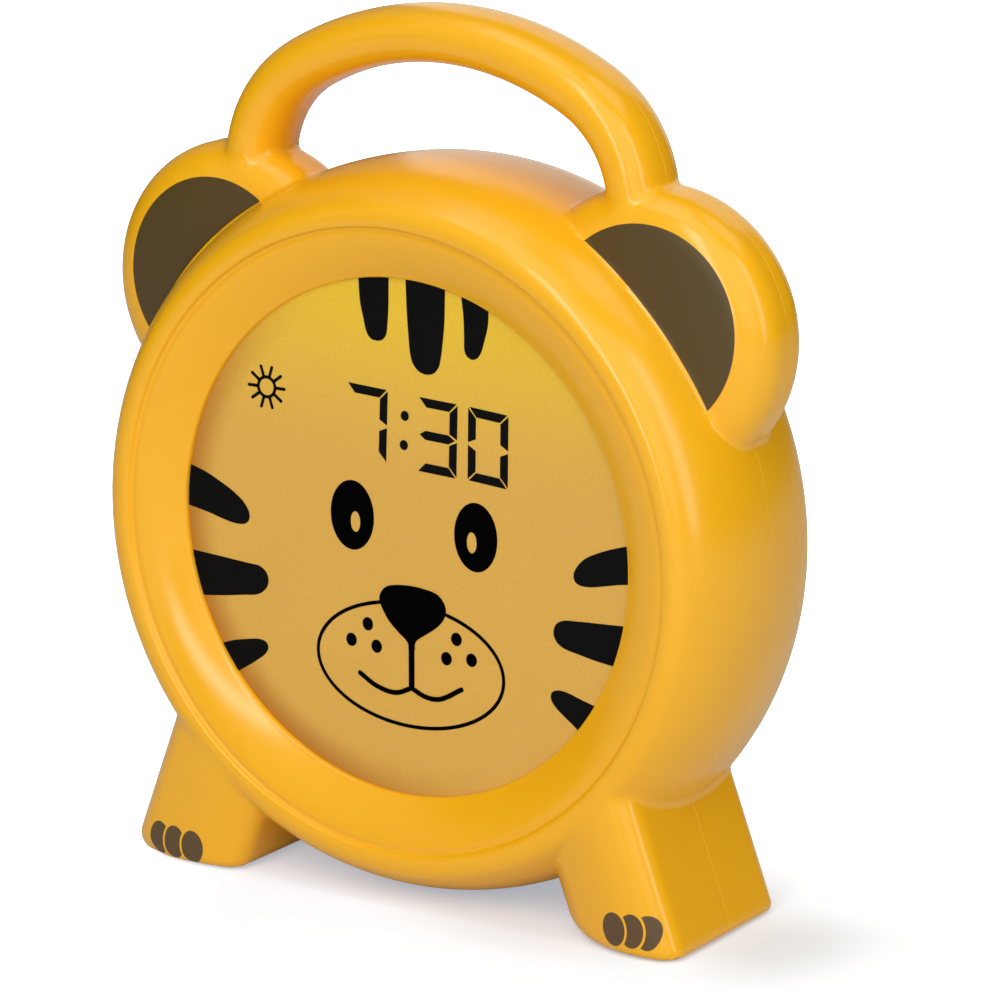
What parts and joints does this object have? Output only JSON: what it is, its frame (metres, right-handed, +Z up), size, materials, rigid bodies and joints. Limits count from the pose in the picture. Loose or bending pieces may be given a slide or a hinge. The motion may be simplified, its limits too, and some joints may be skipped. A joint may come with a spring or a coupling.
{
  "type": "alarm clock",
  "caption": "Round amber animal-face alarm clock with two ears, an arched handle, two feet and a translucent night-light face.",
  "frame": {"origin": "centre of the bounding box on the ground", "axes": "+Z up, the face looks towards -Y, +X to the right of a person who looks at the face"},
  "size_m": [0.1828, 0.0526, 0.2116],
  "materials": {
    "body_plastic": "satin amber shell",
    "trim_plastic": "olive brown",
    "face_plastic": "translucent tan gold panel with a printed face",
    "white_plastic": "white",
    "display_glass": "grey green",
    "black_rubber": "black",
    "black_plastic": "black",
    "steel": "zinc plated",
    "board_green": "green solder resist",
    "sleeve_blue": "printed sleeve, no marks",
    "lamp_resin": "yellow resin",
    "ribbon_film": "amber film",
    "paper_cone": "black paper",
    "wire_sleeve": "red or black sleeves"
  },
  "bodies": {
    "root": {"front_shell": "body_plastic", "rear_shell": "body_plastic", "face_panel": "face_plastic", "panel_gasket": "black_rubber", "lcd_glass": "display_glass", "lcd_frame": "white_plastic", "lcd_ribbon": "ribbon_film", "ribbon_connector": "white_plastic", "diffuser_sheet": "white_plastic", "light_box": "white_plastic", "light_box_screws": "steel", "lamp_board": "board_green", "lamps": "lamp_resin", "lamp_board_screws": "steel", "main_board": "board_green", "main_chips": "black_plastic", "buffer_capacitor": "sleeve_blue", "main_board_screws": "steel", "key_switches": "black_plastic", "slide_switch": "steel", "speaker_frame": "steel", "speaker_cone": "paper_cone", "speaker_magnet": "steel", "speaker_screws": "steel", "inlet_board": "board_green", "power_socket": "steel", "inlet_screws": "steel", "battery_cells": "sleeve_blue", "contact_springs": "steel", "contact_plates": "steel", "shell_screws": "steel", "foot_pads": "black_rubber", "battery_wires": "wire_sleeve", "speaker_wires": "wire_sleeve", "lamp_wires": "wire_sleeve", "inlet_wires": "wire_sleeve"},
    "set_button": {"set_key": "trim_plastic", "set_plunger": "white_plastic"},
    "up_button": {"up_key": "trim_plastic", "up_plunger": "white_plastic"},
    "down_button": {"down_key": "trim_plastic", "down_plunger": "white_plastic"},
    "alarm_button": {"alarm_key": "trim_plastic", "alarm_plunger": "white_plastic"},
    "light_button": {"light_key": "trim_plastic", "light_plunger": "white_plastic"},
    "volume_button": {"volume_key": "trim_plastic", "volume_plunger": "white_plastic"},
    "power_switch": {"switch_knob": "trim_plastic", "switch_lever": "white_plastic"},
    "door": {"battery_door": "body_plastic", "door_screw": "steel"}
  },
  "joints": [
    {"name": "set_key_press", "type": "slide", "parent": "root", "child": "set_button", "axis": [0, -1, 0], "range_m": [0, 0.0008], "stiffness_N_per_m": 800, "springref_m": -0.0008},
    {"name": "up_key_press", "type": "slide", "parent": "root", "child": "up_button", "axis": [0, -1, 0], "range_m": [0, 0.0008], "stiffness_N_per_m": 800, "springref_m": -0.0008},
    {"name": "down_key_press", "type": "slide", "parent": "root", "child": "down_button", "axis": [0, -1, 0], "range_m": [0, 0.0008], "stiffness_N_per_m": 800, "springref_m": -0.0008},
    {"name": "alarm_key_press", "type": "slide", "parent": "root", "child": "alarm_button", "axis": [0, -1, 0], "range_m": [0, 0.0008], "stiffness_N_per_m": 800, "springref_m": -0.0008},
    {"name": "light_key_press", "type": "slide", "parent": "root", "child": "light_button", "axis": [0, -1, 0], "range_m": [0, 0.0008], "stiffness_N_per_m": 800, "springref_m": -0.0008},
    {"name": "volume_key_press", "type": "slide", "parent": "root", "child": "volume_button", "axis": [0, -1, 0], "range_m": [0, 0.0008], "stiffness_N_per_m": 800, "springref_m": -0.0008},
    {"name": "power_switch_slide", "type": "slide", "parent": "root", "child": "power_switch", "axis": [1, 0, 0], "range_m": [0, 0.003]},
    {"name": "battery_door_lift", "type": "slide", "parent": "root", "child": "door", "axis": [0, 1, 0], "range_m": [0, 0.04]}
  ]
}
